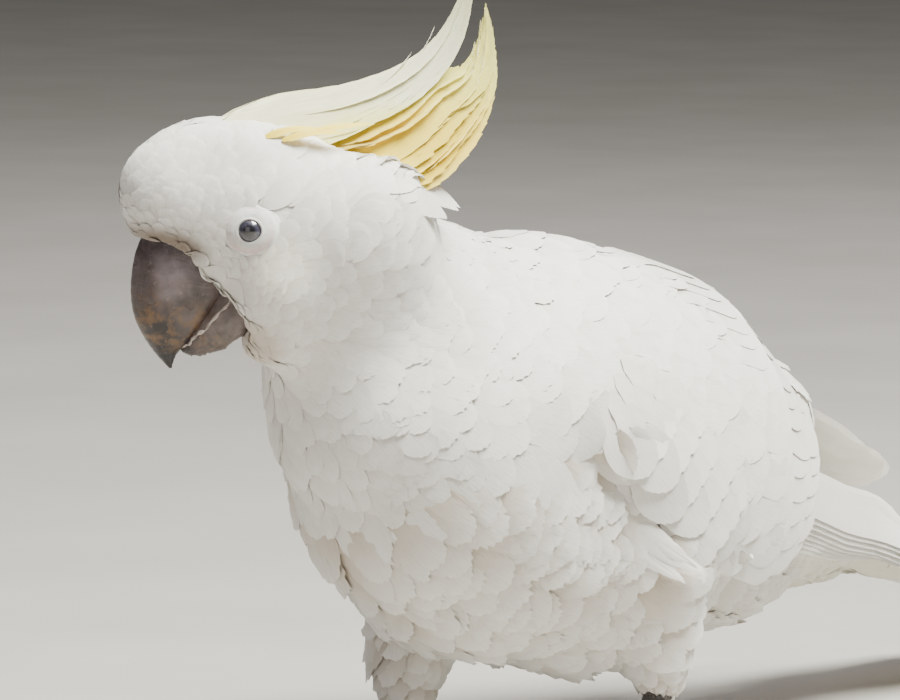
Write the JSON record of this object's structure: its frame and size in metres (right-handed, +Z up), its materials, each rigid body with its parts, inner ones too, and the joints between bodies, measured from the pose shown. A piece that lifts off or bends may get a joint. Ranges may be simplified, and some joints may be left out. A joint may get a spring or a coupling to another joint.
{
  "type": "sulphur-crested cockatoo model",
  "caption": "Life-size white cockatoo in mid stride, head turned aside, bill closed, yellow crest swept back, wings folded and tail sloping down.",
  "frame": {"origin": "on the floor, below the middle of the bird's bounding box", "axes": "the bird walks towards -Y and its tail points to +Y, its left side is +X, and +Z is up"},
  "size_m": [0.1218, 0.4406, 0.2738],
  "materials": {
    "white_plumage": "soft white feathers",
    "yellow_crest": "sulphur-yellow feathers",
    "grey_horn": "grey horn with a dull shine",
    "grey_foot_skin": "grey scaled skin",
    "dark_eye": "wet, nearly black"
  },
  "bodies": {
    "root": {"head": "white_plumage", "neck": "white_plumage", "trunk": "white_plumage", "thigh_l": "white_plumage", "thigh_r": "white_plumage", "crest_front": "white_plumage", "tail": "white_plumage", "wing_coverts_l": "white_plumage", "wing_coverts_r": "white_plumage", "wing_secondaries_l": "white_plumage", "wing_secondaries_r": "white_plumage", "wing_primaries_l": "white_plumage", "wing_primaries_r": "white_plumage", "crest_rear": "yellow_crest", "bill_upper": "grey_horn", "bill_lower": "grey_horn", "claw_l_2_inner": "grey_horn", "claw_l_3_outer": "grey_horn", "claw_l_4_back_outer": "grey_horn", "claw_l_1_back_inner": "grey_horn", "claw_r_2_inner": "grey_horn", "claw_r_3_outer": "grey_horn", "claw_r_4_back_outer": "grey_horn", "claw_r_1_back_inner": "grey_horn", "palm_l": "grey_foot_skin", "palm_r": "grey_foot_skin", "shank_l": "grey_foot_skin", "shank_r": "grey_foot_skin", "toe_l_2_inner": "grey_foot_skin", "toe_l_3_outer": "grey_foot_skin", "toe_l_4_back_outer": "grey_foot_skin", "toe_l_1_back_inner": "grey_foot_skin", "toe_r_2_inner": "grey_foot_skin", "toe_r_3_outer": "grey_foot_skin", "toe_r_4_back_outer": "grey_foot_skin", "toe_r_1_back_inner": "grey_foot_skin", "eye_l": "dark_eye", "eye_r": "dark_eye"}
  },
  "joints": []
}
